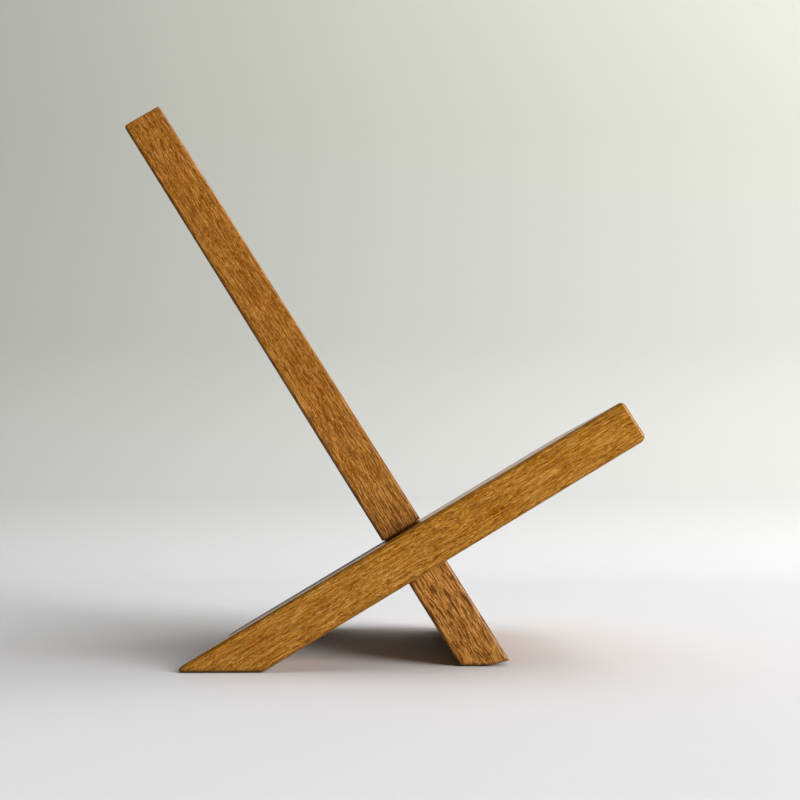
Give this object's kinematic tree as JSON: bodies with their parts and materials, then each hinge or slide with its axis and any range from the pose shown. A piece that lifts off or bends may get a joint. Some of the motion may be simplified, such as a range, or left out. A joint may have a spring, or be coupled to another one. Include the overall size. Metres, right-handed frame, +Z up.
{
  "type": "book display stand",
  "caption": "Wooden book display stand: a tall leaning back board and a forked seat board cross in an X and slot together without hardware.",
  "frame": {"origin": "middle of the assembled stand's footprint box, on the surface that it stands on", "axes": "+Z up; +X towards the reader, on the side where the book rests; Y along the width of both boards"},
  "size_m": [0.2436, 0.15, 0.2662],
  "materials": {
    "wood": "satin oil on golden-brown open-pored hardwood"
  },
  "bodies": {
    "back": {"back_board": "wood"},
    "seat": {"seat_board": "wood"}
  },
  "joints": [
    {"name": "seat_slide", "type": "slide", "parent": "back", "child": "seat", "axis": [0.8616, 0, 0.5075], "range_m": [0, 0.14]}
  ]
}
